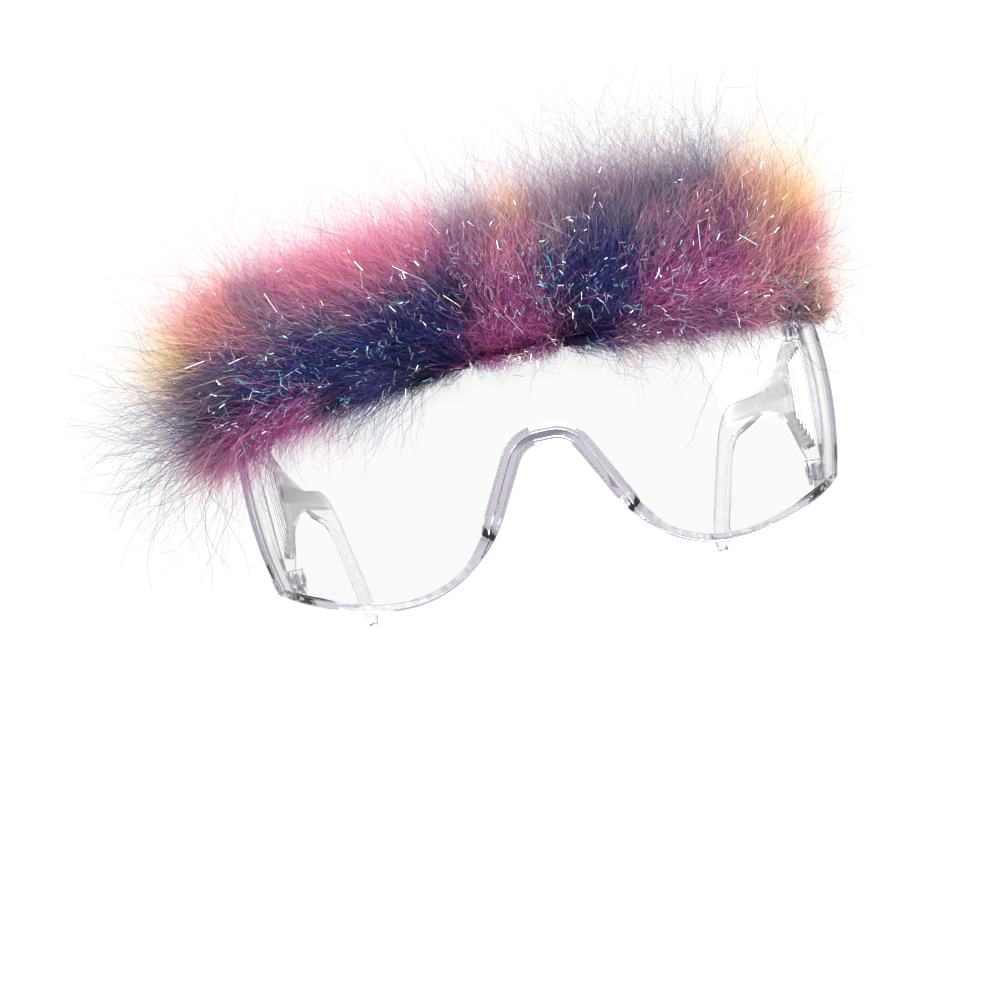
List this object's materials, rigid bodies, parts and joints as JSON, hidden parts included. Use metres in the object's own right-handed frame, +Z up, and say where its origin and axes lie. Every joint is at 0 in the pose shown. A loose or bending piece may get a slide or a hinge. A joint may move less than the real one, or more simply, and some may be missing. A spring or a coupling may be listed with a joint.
{
  "type": "fur trimmed visitor glasses",
  "caption": "Clear one-piece wrap-round glasses with folding vented side arms and a long-pile multicoloured fur trim with tinsel glued along the brow.",
  "frame": {"origin": "middle of the small seat under the nose arch, where the glasses sit on the nose", "axes": "+X towards the wearer's left, +Y back along the side arms, +Z up"},
  "size_m": [0.2037, 0.173, 0.1111],
  "materials": {
    "clear_polycarbonate": "clear, glossy, faint lilac in its thick edges",
    "pin_steel": "dull",
    "knitted_backing": "knitted",
    "hot_melt_glue": "cloudy, half clear",
    "navy_pile": "long hair with tinsel",
    "magenta_pile": "long hair with tinsel",
    "plum_pile": "long hair with tinsel"
  },
  "bodies": {
    "front": {"lens_front": "clear_polycarbonate", "hinge_pin_lower_left": "pin_steel", "hinge_pin_upper_left": "pin_steel", "hinge_pin_lower_right": "pin_steel", "hinge_pin_upper_right": "pin_steel", "glue_bead_left": "hot_melt_glue", "glue_bead_centre": "hot_melt_glue", "glue_bead_right": "hot_melt_glue", "fur_backing_left": "knitted_backing", "fur_backing_centre": "knitted_backing", "fur_backing_right": "knitted_backing", "fur_pile_left": "plum_pile", "fur_pile_centre": "magenta_pile", "fur_pile_right": "navy_pile"},
    "arm_left": {"temple_left": "clear_polycarbonate"},
    "arm_right": {"temple_right": "clear_polycarbonate"}
  },
  "joints": [
    {"name": "fold_left", "type": "hinge", "parent": "front", "child": "arm_left", "pos_m": [0.07011, 0.02842, 0], "axis": [0.0504, 0.0007, 0.9987], "range_deg": [0, 85]},
    {"name": "fold_right", "type": "hinge", "parent": "front", "child": "arm_right", "pos_m": [-0.07011, 0.02842, 0], "axis": [0.0504, -0.0007, -0.9987], "range_deg": [0, 76]}
  ]
}
